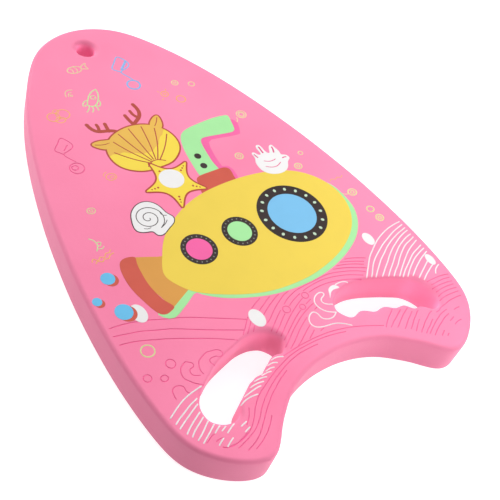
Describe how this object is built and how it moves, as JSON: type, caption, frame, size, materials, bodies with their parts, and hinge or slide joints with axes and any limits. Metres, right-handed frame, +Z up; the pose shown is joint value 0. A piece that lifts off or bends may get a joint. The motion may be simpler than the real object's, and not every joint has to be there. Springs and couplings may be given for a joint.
{
  "type": "kickboard float",
  "caption": "Flat bullet-shaped foam swim board with a notched tail, a pair of hand slots with finger scallops, a leash hole and a printed ink film on top.",
  "frame": {"origin": "middle of the underside of the bounding box", "axes": "+Y from the notched tail to the rounded nose, +X to the right of the printed face, +Z up out of the printed face"},
  "size_m": [0.2944, 0.43, 0.0301],
  "materials": {
    "foam": "closed-cell EVA foam, pink, matte, fine skin texture",
    "ink_blue": "heat-transfer ink film, sky blue, satin",
    "ink_brown": "heat-transfer ink film, reddish brown, satin",
    "ink_dark": "heat-transfer ink film, near black, satin",
    "ink_grey": "heat-transfer ink film, warm grey, satin",
    "ink_magenta": "heat-transfer ink film, magenta, satin",
    "ink_mint": "heat-transfer ink film, mint green, satin",
    "ink_ochre": "heat-transfer ink film, ochre, satin",
    "ink_red": "heat-transfer ink film, brick red, satin",
    "ink_tan": "heat-transfer ink film, tan, satin",
    "ink_white": "heat-transfer ink film, white, satin",
    "ink_yellow": "heat-transfer ink film, yellow, satin"
  },
  "bodies": {
    "root": {"foam_board": "foam", "print_anemone": "ink_white", "print_bubble_1": "ink_blue", "print_bubble_1_shade": "ink_red", "print_bubble_2": "ink_blue", "print_bubble_2_shade": "ink_red", "print_bubble_3": "ink_blue", "print_bubble_3_shade": "ink_red", "print_dab_centre": "ink_white", "print_dab_nose_side": "ink_white", "print_dab_tail": "ink_white", "print_hull_shade": "ink_mint", "print_hull_yellow": "ink_yellow", "print_leaf_left": "ink_tan", "print_leaf_right": "ink_tan", "print_periscope": "ink_mint", "print_periscope_base": "ink_red", "print_periscope_dot_lower": "ink_dark", "print_periscope_dot_upper": "ink_dark", "print_periscope_shade": "ink_magenta", "print_porthole_glass_end": "ink_magenta", "print_porthole_glass_large": "ink_blue", "print_porthole_glass_middle": "ink_mint", "print_porthole_ring_end": "ink_dark", "print_porthole_ring_large": "ink_dark", "print_porthole_ring_middle": "ink_dark", "print_reef_outline": "ink_brown", "print_scallop_band": "ink_tan", "print_scallop_body": "ink_yellow", "print_snail": "ink_white", "print_snail_outline": "ink_grey", "print_starfish": "ink_yellow", "print_starfish_outline": "ink_brown", "print_starfish_spot": "ink_white", "print_tail_inner": "ink_ochre", "print_tail_outer": "ink_red", "print_tail_shade": "ink_mint", "print_wave_left_01": "ink_white", "print_wave_left_02": "ink_white", "print_wave_left_03": "ink_white", "print_wave_left_04": "ink_white", "print_wave_left_05": "ink_white", "print_wave_left_06": "ink_white", "print_wave_right_01": "ink_white", "print_wave_right_02": "ink_white", "print_wave_right_03": "ink_white", "print_wave_right_04": "ink_white", "print_wave_right_05": "ink_white", "print_wave_right_06": "ink_white", "print_wave_right_07": "ink_white", "print_wave_right_08": "ink_white", "print_wave_right_09": "ink_white", "print_wave_right_10": "ink_white", "print_wave_right_11": "ink_white", "print_wave_right_12": "ink_white"}
  },
  "joints": []
}
